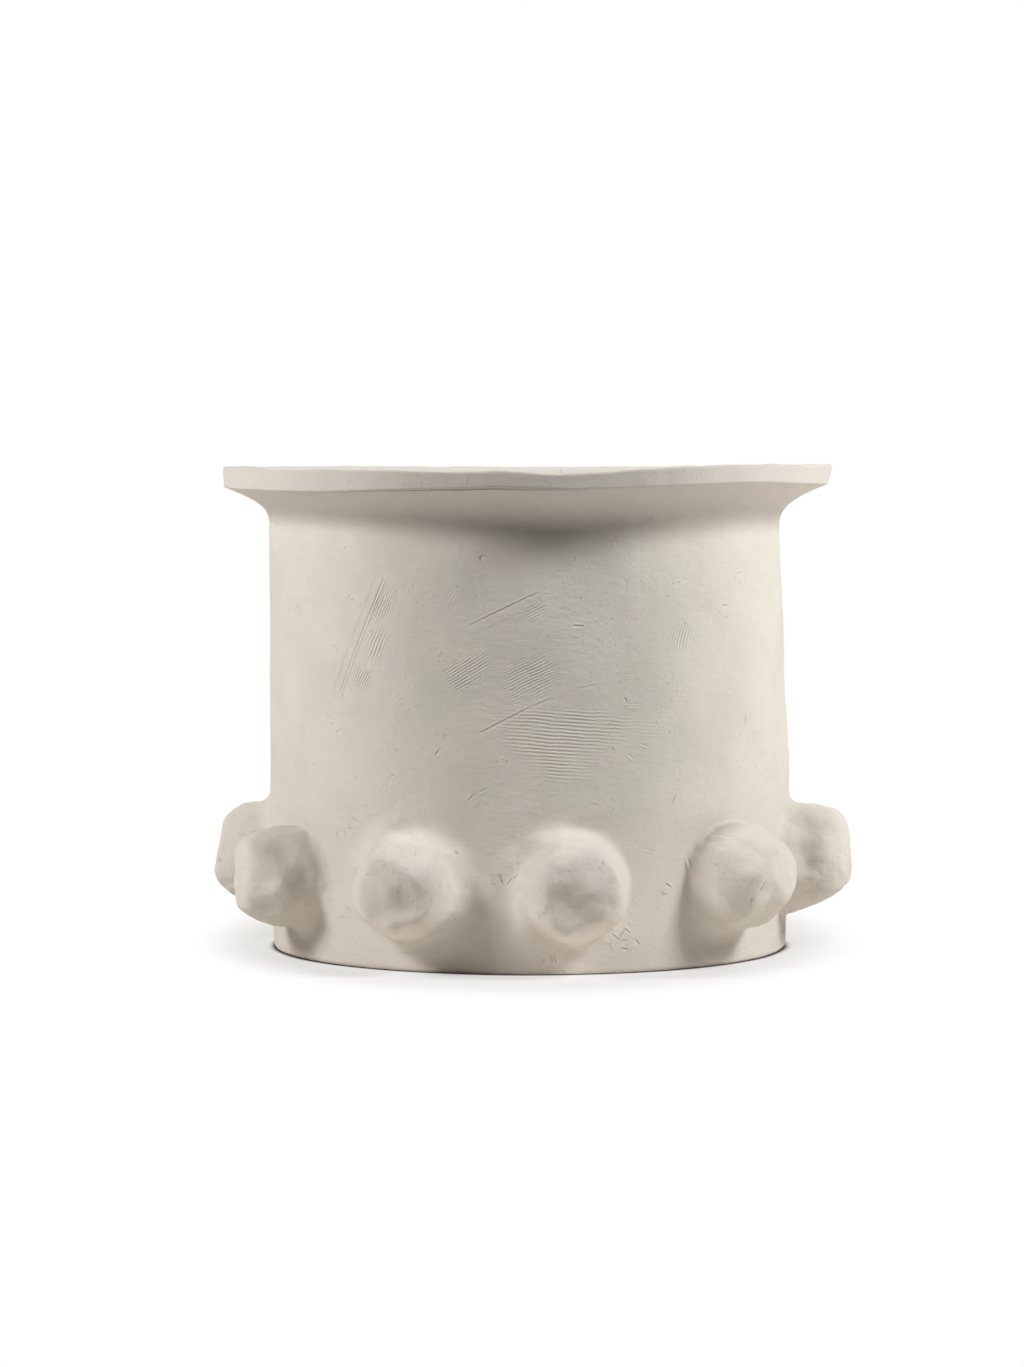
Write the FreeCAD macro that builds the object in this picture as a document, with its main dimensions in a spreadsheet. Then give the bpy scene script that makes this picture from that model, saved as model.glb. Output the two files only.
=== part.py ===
"""A hand-built stoneware flower pot: a drum on a round slab, a flared rim and a ring of paddled knobs.

The pot is put together from separate pieces of clay, as on the bench: slab, wall, rim ring, the coils
pressed into the two seams, the knobs, and the collar of clay smoothed round the root of each knob.
Millimetres, +Z up, with the origin on the floor at the centre of the foot. The front of the pot is at -Y.
"""

import FreeCAD
import Part
import Sketcher

import math
import os

Vector = FreeCAD.Vector
Rotation = FreeCAD.Rotation

# Driving sizes: alias, value in millimetres, meaning
SIZES = (
    ("pot_height", 300, "floor to the top of the rim"),
    ("foot_radius", 162.5, "outside of the pot at the floor"),
    ("neck_draw", 3, "how far the wall draws in from the floor to the rim"),
    ("wall_thick", 11, "thickness of the drum's wall"),
    ("base_thick", 13, "thickness of the slab"),
    ("foot_round", 4, "rounding of the slab's edge at the floor"),
    ("drain_radius", 10, "drain hole in the middle of the slab"),
    ("rim_overhang", 31.5, "how far the rim stands out from the top of the wall"),
    ("lip_thick", 12, "thickness of the rim at its lip"),
    ("lip_round", 3, "rounding of the lip's upper edge"),
    ("mouth_round", 5, "rounding of the rim's inner edge"),
    ("cove_step", 1.5, "how far behind the lip's face the cove under the rim begins"),
    ("cove_slope", 8, "drop of the cove's straight underside, from the lip to its bend"),
    ("cove_bend_run", 9, "how far the cove's bend stands out from the wall"),
    ("cove_bend_drop", 14, "height of the cove's bend"),
    ("seam_coil_leg", 12, "width and height of the coil in the inner corner"),
    ("knob_height", 55, "floor to the axis of the knobs"),
    ("knob_sink", 10, "how far the knobs and collars are shaped behind the wall's face before fitting"),
    ("knob_root_flare", 3, "how much wider than its waist a knob starts, behind the wall's face"),
    ("knob_waist_reach", 12, "wall to the waist of a knob"),
    ("knob_waist_radius", 34, "corners of a knob at its waist"),
    ("knob_shoulder_reach", 27, "wall to the shoulder of a knob"),
    ("knob_shoulder_radius", 30, "corners of a knob at its shoulder"),
    ("knob_reach", 40, "wall to the end of a knob"),
    ("knob_tip_radius", 19, "corners of the facet that ends a knob"),
    ("collar_reach", 11, "wall to the upper edge of a collar"),
    ("collar_edge", 1, "how far a collar's upper edge stands out from the knob's corners"),
    ("collar_spread", 13, "how far a collar spreads past the knob's waist, behind the wall's face"),
    ("cut_overrun", 20, "how far the shape that fits knobs to the wall runs below the floor"),
)

# The bend of an arc, as a share of its run and rise added together
BEND_SHARE = 0.65
# Edge count of a paddled knob, and the number of knobs round the foot
KNOB_SIDES = 8
KNOB_COUNT = 10
# Where the first knob stands, in degrees from the front towards +X
FIRST_KNOB_ANGLE = 10
FRONT_ANGLE = -90
# Each knob: degrees off its even place, roll of its facets, turn of its shoulder against the waist,
# and the downward and sideways tilt of its end facet
KNOB_ANGLES = (
    (-1, 6, 14, 10, -4),
    (0, 20, -10, 4, 9),
    (0, 33, 12, -8, 3),
    (0.6, 11, -16, 12, -6),
    (1.2, 27, 9, 6, 8),
    (1.8, 2, 17, -5, -9),
    (2.4, 38, -12, 9, 4),
    (3, 16, 10, -7, -5),
    (2.5, 30, -14, 7, 7),
    (2, 9, 15, 11, -8),
)
# Each knob: its reach and its girth as shares of the sizes above, and the rise of its end facet
# as a share of the facet's radius
KNOB_SHARES = (
    (0.98, 1.00, -0.20),
    (0.96, 1.02, -0.15),
    (1.00, 0.99, 0.25),
    (0.97, 1.01, -0.10),
    (0.99, 0.98, 0.10),
    (0.96, 1.00, -0.18),
    (1.00, 1.02, 0.05),
    (0.86, 0.97, 0.20),
    (0.97, 1.00, -0.10),
    (0.95, 1.01, -0.22),
)

doc = FreeCAD.newDocument("flower_pot")
sheet = doc.addObject("Spreadsheet::Sheet", "sizes")


class Size:
    """A length worked out from the sheet: its expression and the value it has now."""

    def __init__(self, text, value):
        self.text = text
        self.value = value

    def joined(self, sign, other, value):
        other_text = other.text if isinstance(other, Size) else repr(other)
        return Size(f"({self.text} {sign} {other_text})", value)

    def __add__(self, other):
        return self.joined("+", other, self.value + other.value)

    def __sub__(self, other):
        return self.joined("-", other, self.value - other.value)

    def __mul__(self, share):
        factor = share.value if isinstance(share, Size) else share
        return self.joined("*", share, self.value * factor)

    def __truediv__(self, other):
        return self.joined("/", other, self.value / other.value)


ZERO = Size("0", 0.0)


def fill_sheet():
    """Writes the driving sizes to the sheet and returns them by alias."""
    for row, (alias, value, meaning) in enumerate(SIZES, start=1):
        sheet.set(f"A{row}", meaning)
        sheet.set(f"B{row}", str(value))
        sheet.setAlias(f"B{row}", alias)
    doc.recompute()
    return {alias: Size(f"sizes.{alias}", float(sheet.get(alias))) for alias, value, meaning in SIZES}


size = fill_sheet()

# Sizes that follow from the driving ones
rim_seat = size["pot_height"] - size["lip_thick"]
neck_radius = size["foot_radius"] - size["neck_draw"]
rim_radius = neck_radius + size["rim_overhang"]
wall_taper = size["neck_draw"] / rim_seat
root_radius = size["knob_waist_radius"] + size["knob_root_flare"]
skirt_radius = size["knob_waist_radius"] + size["collar_spread"]


def wall_outside(height):
    """Outside radius of the tapered wall at a height above the floor."""
    return size["foot_radius"] - wall_taper * height


def wall_inside(height):
    """Inside radius of the wall at a height above the floor."""
    return wall_outside(height) - size["wall_thick"]


def origin_plane(body, role):
    return next(feature for feature in body.Origin.OriginFeatures if feature.Role == role)


def point_of(corner):
    return Vector(corner[0].value, corner[1].value, 0)


def arc_between(start, end, radius):
    """The hollow arc from start to end, with its centre to the right. It is drawn from end to start."""
    middle = (start + end) * 0.5
    along = end - start
    right = Vector(along.y, -along.x, 0).normalize()
    rise = math.sqrt(radius * radius - (along.Length * 0.5) ** 2)
    centre = middle + right * rise
    end_angle = math.atan2(end.y - centre.y, end.x - centre.x)
    start_angle = math.atan2(start.y - centre.y, start.x - centre.x)
    return Part.ArcOfCircle(Part.Circle(centre, Vector(0, 0, 1), radius), end_angle, start_angle)


def hold_corner(sketch, edge, end, corner):
    """Ties one end of an edge to its two sizes, measured from the sketch's origin."""
    for coordinate, name, axis in ((corner[0], "DistanceX", -2), (corner[1], "DistanceY", -1)):
        if coordinate is ZERO:
            sketch.addConstraint(Sketcher.Constraint("PointOnObject", edge, end, axis))
            continue
        number = sketch.addConstraint(Sketcher.Constraint(name, -1, 1, edge, end, coordinate.value))
        sketch.setExpression(f"Constraints[{number}]", coordinate.text)


def draw_outline(sketch, outline):
    """Draws a closed outline, anticlockwise. A corner's third entry is the radius of a hollow arc from it."""
    count = len(outline)
    ends = []
    for index, corner in enumerate(outline):
        start = point_of(corner)
        end = point_of(outline[(index + 1) % count])
        if len(corner) == 3:
            sketch.addGeometry(arc_between(start, end, corner[2].value))
            ends.append((2, 1))
        else:
            sketch.addGeometry(Part.LineSegment(start, end))
            ends.append((1, 2))
    for index in range(count):
        following = (index + 1) % count
        joint = Sketcher.Constraint("Coincident", index, ends[index][1], following, ends[following][0])
        sketch.addConstraint(joint)
    for index, corner in enumerate(outline):
        hold_corner(sketch, index, ends[index][0], corner)
        if len(corner) == 3:
            number = sketch.addConstraint(Sketcher.Constraint("Radius", index, corner[2].value))
            sketch.setExpression(f"Constraints[{number}]", corner[2].text)


def turned_body(label, outline, axis="V_Axis"):
    """A body turned from an outline in the XZ plane, about the pot's axis or about the sketch's own X."""
    body = doc.addObject("PartDesign::Body", label)
    sketch = body.newObject("Sketcher::SketchObject", f"{label}_outline")
    sketch.AttachmentSupport = [(origin_plane(body, "XZ_Plane"), "")]
    sketch.MapMode = "FlatFace"
    draw_outline(sketch, outline)
    turning = body.newObject("PartDesign::Revolution", f"{label}_turning")
    turning.Profile = sketch
    turning.ReferenceAxis = (sketch, [axis])
    turning.Angle = 360
    doc.recompute()
    return body


def rings_at(shape, radius, height):
    """Names of the round edges of that radius at that height."""
    found = []
    for number, edge in enumerate(shape.Edges, start=1):
        if not isinstance(edge.Curve, Part.Circle):
            continue
        same_radius = abs(edge.Curve.Radius - radius.value) < Part.Precision.approximation()
        same_height = abs(edge.Curve.Center.z - height.value) < Part.Precision.approximation()
        if same_radius and same_height:
            found.append(f"Edge{number}")
    return found


def round_edge(body, name, radius, height, rounding):
    """Rounds the ring of that radius and height on the body."""
    base = body.Tip
    fillet = body.newObject("PartDesign::Fillet", name)
    fillet.Base = (base, rings_at(base.Shape, radius, height))
    fillet.Radius = rounding.value
    fillet.setExpression("Radius", rounding.text)
    doc.recompute()


def make_base_slab():
    """The round slab that is the floor of the pot, with its drain hole and rounded foot."""
    body = turned_body(
        "base_slab",
        (
            (size["drain_radius"], ZERO),
            (size["foot_radius"], ZERO),
            (wall_outside(size["base_thick"]), size["base_thick"]),
            (size["drain_radius"], size["base_thick"]),
        ),
    )
    round_edge(body, "foot_rounding", size["foot_radius"], ZERO, size["foot_round"])
    return body


def make_wall():
    """The drum, which stands on the slab and carries the rim."""
    low, high = size["base_thick"], rim_seat
    return turned_body(
        "wall",
        (
            (wall_inside(low), low),
            (wall_outside(low), low),
            (wall_outside(high), high),
            (wall_inside(high), high),
        ),
    )


def make_base_seam_coil():
    """The coil of clay pressed into the inner corner of slab and wall, hollowed by a fingertip."""
    leg = size["seam_coil_leg"]
    low = size["base_thick"]
    high = low + leg
    return turned_body(
        "base_seam_coil",
        (
            (wall_inside(low), low),
            (wall_inside(high), high, leg),
            (wall_inside(low) - leg, low),
        ),
    )


def make_rim_flange():
    """The flat ring laid on top of the wall, with its thick lip."""
    mouth = wall_inside(rim_seat)
    body = turned_body(
        "rim_flange",
        (
            (mouth, rim_seat),
            (rim_radius, rim_seat),
            (rim_radius, size["pot_height"]),
            (mouth, size["pot_height"]),
        ),
    )
    round_edge(body, "lip_rounding", rim_radius, size["pot_height"], size["lip_round"])
    round_edge(body, "mouth_rounding", mouth, size["pot_height"], size["mouth_round"])
    return body


def make_rim_support_coil():
    """The coil under the rim, smoothed into a cove: a bend out of the wall, then a straight underside."""
    bend_top = rim_seat - size["cove_slope"]
    bend_foot = bend_top - size["cove_bend_drop"]
    bend_radius = (size["cove_bend_run"] + size["cove_bend_drop"]) * BEND_SHARE
    return turned_body(
        "rim_support_coil",
        (
            (wall_outside(rim_seat), rim_seat),
            (wall_outside(bend_foot), bend_foot, bend_radius),
            (wall_outside(bend_top) + size["cove_bend_run"], bend_top),
            (rim_radius - size["cove_step"], rim_seat),
        ),
    )


def make_wall_core():
    """The tapered drum taken as solid, which fits knobs and collars to the wall's face."""
    core = doc.addObject("Part::Cone", "wall_core")
    below_floor = ZERO - size["cut_overrun"]
    core.setExpression("Radius1", wall_outside(below_floor).text)
    core.setExpression("Radius2", neck_radius.text)
    core.setExpression("Height", (rim_seat - below_floor).text)
    core.setExpression("Placement.Base.z", below_floor.text)
    return core


def place_along_knob(section, distance, rise):
    """Puts a section on the axis of the knob that points along +X, at a distance from the wall's face."""
    face = wall_outside(size["knob_height"])
    section.setExpression("Placement.Base.x", (face + distance).text)
    section.setExpression("Placement.Base.z", (size["knob_height"] + rise).text)


def make_knob_section(name, radius, distance, rise, roll, nod, yaw):
    """One many-sided section of a knob, square to its axis before it is tilted."""
    section = doc.addObject("Part::RegularPolygon", name)
    section.Polygon = KNOB_SIDES
    section.setExpression("Circumradius", radius.text)
    facing_out = Rotation(Vector(0, 1, 0), 90)
    rolled = Rotation(Vector(1, 0, 0), roll)
    tilted = Rotation(Vector(0, 1, 0), nod) * Rotation(Vector(0, 0, 1), yaw)
    section.Placement = FreeCAD.Placement(Vector(0, 0, 0), tilted * rolled * facing_out)
    place_along_knob(section, distance, rise)
    return section


def make_knob_lump(tag, angles, shares):
    """The whole paddled lump, from behind the wall's face to its end facet."""
    roll, turn, nod, yaw = angles[1:]
    reach_share, girth_share, rise_share = shares
    behind = ZERO - size["knob_sink"]
    sections = (
        ("root", root_radius, behind, ZERO, roll, 0, 0),
        ("waist", size["knob_waist_radius"], size["knob_waist_reach"], ZERO, roll, 0, 0),
        ("shoulder", size["knob_shoulder_radius"], size["knob_shoulder_reach"], ZERO, roll + turn, nod, yaw),
        ("tip", size["knob_tip_radius"], size["knob_reach"], size["knob_tip_radius"] * rise_share,
         roll, nod, yaw),
    )
    made = []
    for part, radius, distance, rise, section_roll, section_nod, section_yaw in sections:
        reach = distance if distance is behind else distance * reach_share
        girth = radius * girth_share
        name = f"lump_{tag}_{part}"
        made.append(make_knob_section(name, girth, reach, rise, section_roll, section_nod, section_yaw))
    lump = doc.addObject("Part::Loft", f"lump_{tag}")
    lump.Sections = made
    lump.Solid = True
    lump.Ruled = True
    return lump


def make_collar_ring(tag, girth_share):
    """The clay round a knob's root: a concave skirt turned about the knob's axis."""
    face = wall_outside(size["knob_height"])
    behind = face - size["knob_sink"]
    upper = face + size["collar_reach"]
    edge = size["knob_waist_radius"] * girth_share + size["collar_edge"]
    bend = (skirt_radius - edge + size["collar_reach"] + size["knob_sink"]) * BEND_SHARE
    ring = turned_body(
        f"ring_{tag}",
        (
            (behind, ZERO),
            (upper, ZERO),
            (upper, edge, bend),
            (behind, skirt_radius),
        ),
        axis="H_Axis",
    )
    ring.setExpression("Placement.Base.z", size["knob_height"].text)
    return ring


def knob_angle(index):
    """Where a knob stands round the pot, in degrees from the front. It counts on past a full turn."""
    stray = KNOB_ANGLES[index % len(KNOB_ANGLES)][0]
    return FIRST_KNOB_ANGLE + index * 360 / KNOB_COUNT + stray


def make_sector(tag, index):
    """The slice of the pot that belongs to a knob on the +X side: halfway to the next knob on either hand."""
    to_previous = (knob_angle(index) - knob_angle(index - 1)) / 2
    to_next = (knob_angle(index + 1) - knob_angle(index)) / 2
    sector = doc.addObject("Part::Cylinder", f"sector_{tag}")
    sector.setExpression("Radius", (size["foot_radius"] + size["knob_reach"]).text)
    sector.setExpression("Height", rim_seat.text)
    sector.Angle = to_previous + to_next
    sector.Placement.Rotation = Rotation(Vector(0, 0, 1), -to_previous)
    return sector


def combine(kind, name, base, tool):
    """The cut or the common part of two objects."""
    made = doc.addObject(kind, name)
    made.Base = base
    made.Tool = tool
    return made


def make_knob(index, core):
    """One knob and its collar, fitted to the wall's face and to each other."""
    tag = f"{index + 1:02d}"
    shares = KNOB_SHARES[index % len(KNOB_SHARES)]
    lump = make_knob_lump(tag, KNOB_ANGLES[index % len(KNOB_ANGLES)], shares)
    knob = combine("Part::Cut", f"knob_{tag}", lump, core)
    ring = make_collar_ring(tag, shares[1])
    own_ring = combine("Part::Common", f"own_ring_{tag}", ring, make_sector(tag, index))
    fitted_ring = combine("Part::Cut", f"fitted_ring_{tag}", own_ring, core)
    collar = combine("Part::Cut", f"knob_collar_{tag}", fitted_ring, lump)
    turned = Rotation(Vector(0, 0, 1), FRONT_ANGLE + knob_angle(index))
    for piece in (knob, collar):
        piece.Placement = FreeCAD.Placement(Vector(0, 0, 0), turned)
    return [knob, collar]


def make_pot():
    """All the pieces of the pot."""
    pieces = [
        make_base_slab(),
        make_wall(),
        make_base_seam_coil(),
        make_rim_support_coil(),
        make_rim_flange(),
    ]
    core = make_wall_core()
    for index in range(KNOB_COUNT):
        pieces += make_knob(index, core)
    doc.recompute()
    return pieces


def check_pot(pieces):
    """Stops before anything is written if an object failed or a piece isn't one valid solid."""
    failed = [o.Label for o in doc.Objects if "Invalid" in o.State or "Error" in o.State]
    if failed:
        raise RuntimeError(f"these objects failed: {failed}")
    for piece in pieces:
        shape = piece.Shape
        if shape.isNull() or not shape.isValid() or len(shape.Solids) != 1:
            raise RuntimeError(f"{piece.Label} isn't one valid solid")


def write_pot(pieces):
    os.makedirs("parts", exist_ok=True)
    for piece in pieces:
        piece.Shape.exportStep(f"parts/{piece.Label}.step")
        print(f"{piece.Label}: {piece.Shape.Volume:.0f} mm3")


pot_pieces = make_pot()
check_pot(pot_pieces)
write_pot(pot_pieces)
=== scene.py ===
import itertools
import math

import bpy
import numpy as np
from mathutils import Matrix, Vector


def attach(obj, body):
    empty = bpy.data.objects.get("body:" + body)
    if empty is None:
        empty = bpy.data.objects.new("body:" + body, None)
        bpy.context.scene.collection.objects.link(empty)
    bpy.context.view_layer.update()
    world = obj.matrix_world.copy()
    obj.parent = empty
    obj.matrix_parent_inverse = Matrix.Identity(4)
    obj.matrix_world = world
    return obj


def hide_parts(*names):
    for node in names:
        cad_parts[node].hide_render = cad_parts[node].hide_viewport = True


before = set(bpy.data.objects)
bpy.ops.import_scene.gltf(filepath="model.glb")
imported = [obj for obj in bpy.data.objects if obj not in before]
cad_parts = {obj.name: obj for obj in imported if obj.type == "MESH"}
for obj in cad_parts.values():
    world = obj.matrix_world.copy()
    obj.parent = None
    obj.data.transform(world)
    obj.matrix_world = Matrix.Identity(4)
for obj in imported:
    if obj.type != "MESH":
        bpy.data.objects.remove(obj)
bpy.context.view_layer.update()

# Shapes are worked out in millimetres, round the pot's axis: azimuth runs from the front (-Y) towards +X
MM = 0.001
COLUMNS = 600
KNOB_COLUMNS = 200
azimuths = np.arange(COLUMNS) * math.tau / COLUMNS - math.pi


def node_points(node):
    """The vertices of a CAD node in millimetres, one row each."""
    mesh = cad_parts[node].data
    flat = np.empty(len(mesh.vertices) * 3)
    mesh.vertices.foreach_get("co", flat)
    return flat.reshape(-1, 3) / MM


def reach_of(points):
    """Distance of each point from the pot's axis."""
    return np.hypot(points[:, 0], points[:, 1])


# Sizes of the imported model
slab = node_points("base_slab")
wall = node_points("wall")
flange = node_points("rim_flange")
cove = node_points("rim_support_coil")
seam_coil = node_points("base_seam_coil")
collar = node_points("knob_collar_01")
FOOT_RADIUS = reach_of(slab).max()
DRAIN_RADIUS = reach_of(slab).min()
BASE_TOP = slab[:, 2].max()
RIM_SEAT = flange[:, 2].min()
POT_HEIGHT = flange[:, 2].max()
RIM_RADIUS = reach_of(flange).max()
COVE_FOOT = cove[:, 2].min()
COIL_LEG = seam_coil[:, 2].max() - BASE_TOP
NECK_RADIUS = reach_of(wall[wall[:, 2] > COVE_FOOT]).max()
WALL_THICK = NECK_RADIUS - reach_of(wall).min()
TAPER = (FOOT_RADIUS - NECK_RADIUS) / RIM_SEAT
KNOB_HEIGHT = (collar[:, 2].min() + collar[:, 2].max()) / 2
GIRTH = math.tau * FOOT_RADIUS


def knob_azimuth(number):
    """Where a knob stands: halfway between the two sides of its collar."""
    points = node_points(f"knob_collar_{number:02d}")
    middle = points.mean(axis=0)
    towards = math.atan2(middle[0], -middle[1])
    angles = np.arctan2(points[:, 0], -points[:, 1]) - towards
    angles = (angles + math.pi) % math.tau - math.pi
    return towards + (angles.min() + angles.max()) / 2


class Noise:
    """Smooth noise from -1 to 1 on a cubic lattice, the same on every run."""

    CELLS = 48

    def __init__(self, seed, wavelength):
        self.values = np.random.default_rng(seed).uniform(-1, 1, (self.CELLS,) * 3)
        self.wavelength = wavelength

    def __call__(self, points):
        place = points / self.wavelength
        low = np.floor(place).astype(int)
        part = place - low
        ease_in = part * part * part * (part * (part * 6 - 15) + 10)
        total = np.zeros(points.shape[:-1])
        for corner in itertools.product((0, 1), repeat=3):
            weight = np.ones_like(total)
            for axis, side in enumerate(corner):
                weight = weight * (ease_in[..., axis] if side else 1 - ease_in[..., axis])
            index = (low + corner) % self.CELLS
            total += weight * self.values[index[..., 0], index[..., 1], index[..., 2]]
        return total


def layered(layers, points):
    """Layers of noise added up, each with its depth."""
    return sum(depth * noise(points) for noise, depth in layers)


def eased(value, low, high):
    """0 below low, 1 above high, and a smooth step between."""
    part = np.clip((value - low) / (high - low), 0, 1)
    return part * part * (3 - 2 * part)


def on_pot(radius, azimuth, height):
    """Points at a radius, azimuth and height, as rows x, y, z."""
    radius, azimuth, height = np.broadcast_arrays(radius, azimuth, height)
    return np.stack([radius * np.sin(azimuth), -radius * np.cos(azimuth), height], axis=-1)


# Unevenness of the hand-built wall: layers of noise with their depths
PAT = Noise(12, 42)
OUTSIDE_LAYERS = ((Noise(11, 95), 0.6), (PAT, 0.5), (Noise(13, 19), 0.27))
INSIDE_LAYERS = ((Noise(21, 60), 0.9), (Noise(22, 24), 0.35))
# The drum: height, how far it bellies out, and how far it leans to +X
DRUM_SHAPE = (
    (0, -1.2, 0.9),
    (10, -0.8, 0.9),
    (55, 0.9, 1.1),
    (98, 1.7, 1.2),
    (186, 1.0, 0.3),
    (261, -0.1, -2.2),
    (300, -0.2, -1.4),
)


def drum_offset(azimuth, height):
    """How far the drum stands off an even taper, from the table of its shape."""
    heights, bellies, leans = zip(*DRUM_SHAPE)
    return np.interp(height, heights, bellies) + np.interp(height, heights, leans) * np.sin(azimuth)


def wall_radius(azimuth, height):
    """Outside of the wall, uneven as patted clay is."""
    even = FOOT_RADIUS - TAPER * height
    return even + drum_offset(azimuth, height) + layered(OUTSIDE_LAYERS, on_pot(even, azimuth, height))


def inner_radius(azimuth, height):
    """Inside of the wall, with its own unevenness."""
    even = FOOT_RADIUS - TAPER * height - WALL_THICK
    return even + drum_offset(azimuth, height) + layered(INSIDE_LAYERS, on_pot(even, azimuth, height))


# The rim: azimuth in degrees, rise of the lip's top edge, thickness of the lip, how far its lower
# edge is set back, and depth of the crease behind that edge
RIM_WAVES = (
    (-175, -1.0, 10.0, 0.4, 0.2),
    (-140, 0.2, 11.5, 0.6, 0.3),
    (-110, 1.0, 11.5, 0.8, 0.6),
    (-88, 1.6, 13.0, 0.4, 0.3),
    (-63, 2.8, 14.3, 0.4, 0.2),
    (-54, 1.1, 12.8, 0.4, 0.3),
    (-40, 2.0, 13.6, 0.4, 0.5),
    (-25, 2.3, 12.2, 0.4, 0.9),
    (-13, 1.4, 10.4, 0.4, 1.2),
    (-5, 1.9, 10.2, 0.4, 1.3),
    (6, 0.3, 9.9, 0.4, 0.6),
    (15, 1.7, 10.8, 0.4, 0.3),
    (24, 3.3, 11.4, 0.4, 0.2),
    (31, 4.3, 11.7, 0.4, 0.2),
    (45, 4.7, 11.0, 0.4, 0.3),
    (62, 4.3, 12.0, 1.2, 0.2),
    (85, 3.2, 12.6, 2.4, 0.4),
    (112, 1.6, 11.2, 1.6, 0.2),
    (140, 0.6, 12.0, 0.8, 0.8),
    (165, -0.8, 11.0, 0.4, 0.5),
)
CREASE_INSET = 1.2
CREASE_LEAST = 0.1
LIP_FINE = (Noise(32, 15), 0.35)
LIP_LAYERS = ((Noise(31, 55), 1.4), LIP_FINE)
LIP_ROUND = 2.0
LIP_UNDER_ROUND = 1.0
MOUTH_ROUND = 5.0
MOUTH_RISE_SHARE = 0.6
RIM_DISH = 1.2
# The cove under the rim: how far its ends pull straight along the wall and along the underside
COVE_WALL_PULL = 11
COVE_LIP_PULL = 20
COVE_LIP_SLOPE = math.radians(22)
COVE_LAYERS = ((Noise(41, 70), 1.5),)
# The foot, and the floor inside, whose unevenness fades out at its edge and at the drain hole
FOOT_ROUND = 3.6
FOOT_ROUND_WANDER = 0.9
DRAIN_ROUND = 1.5
FLOOR_LAYERS = ((Noise(51, 38), 0.5),)
FLOOR_FADE = 4
# Rows of the mesh in each stretch of the skin
DRAIN_ROWS = 5
UNDERSIDE_ROWS = 24
FOOT_ROUND_ROWS = 7
FOOT_ROWS = 6
OUTSIDE_ROWS = 126
COVE_ROWS = 30
CREASE_ROWS = 7
LIP_UNDER_ROWS = 6
LIP_FACE_ROWS = 8
LIP_ROUND_ROWS = 8
RIM_TOP_ROWS = 22
MOUTH_ROUND_ROWS = 9
MOUTH_ROWS = 5
INSIDE_ROWS = 34
COIL_ROWS = 12
FLOOR_ROWS = 26


def round_the_pot(angles, values, azimuth):
    """A smooth closed curve through values given at angles in degrees, read at each azimuth."""
    table = np.radians(np.concatenate([angles - 360, angles, angles + 360]))
    height = np.tile(values, 3)
    slot = np.clip(np.searchsorted(table, azimuth) - 1, 1, len(table) - 3)
    before, start, end, after = (table[slot + step] for step in (-1, 0, 1, 2))
    v_before, v_start, v_end, v_after = (height[slot + step] for step in (-1, 0, 1, 2))
    gap = end - start
    part = (azimuth - start) / gap
    slope_start = (v_end - v_before) / (end - before) * gap
    slope_end = (v_after - v_start) / (after - start) * gap
    square, cube = part * part, part * part * part
    return (
        (2 * cube - 3 * square + 1) * v_start
        + (cube - 2 * square + part) * slope_start
        + (3 * square - 2 * cube) * v_end
        + (cube - square) * slope_end
    )


def bezier(points, steps):
    """Rows along a Bezier curve whose control points are pairs of radius and height."""
    rows = []
    order = len(points) - 1
    for part in np.linspace(0, 1, steps):
        weights = [math.comb(order, n) * part ** n * (1 - part) ** (order - n) for n in range(order + 1)]
        radius = sum(weight * point[0] for weight, point in zip(weights, points))
        height = sum(weight * point[1] for weight, point in zip(weights, points))
        rows.append((radius, height))
    return rows


def rows_between(radius_at, low, high, steps):
    """Rows up or down a wall, with the radius given by a function of azimuth and height."""
    heights = [low + (high - low) * part for part in np.linspace(0, 1, steps)]
    return [(radius_at(azimuths, height), height) for height in heights]


def foot_sections():
    """From the drain hole under the pot and up the outside to the top of the slab."""
    hole = DRAIN_RADIUS
    foot_round = FOOT_ROUND + FOOT_ROUND_WANDER * PAT(on_pot(FOOT_RADIUS, azimuths, 0))
    foot_inside = wall_radius(azimuths, 0) - foot_round
    foot_top = wall_radius(azimuths, foot_round)
    underside = bezier([(hole, DRAIN_ROUND), (hole, 0), (hole + DRAIN_ROUND, 0)], DRAIN_ROWS)
    underside += bezier([(hole + DRAIN_ROUND, 0), (foot_inside, 0)], UNDERSIDE_ROWS)[1:]
    foot = bezier([(foot_inside, 0), (foot_top, 0), (foot_top, foot_round)], FOOT_ROUND_ROWS)
    foot += rows_between(wall_radius, foot_round, BASE_TOP, FOOT_ROWS)[1:]
    return dict(underside=underside, foot=foot)


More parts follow.
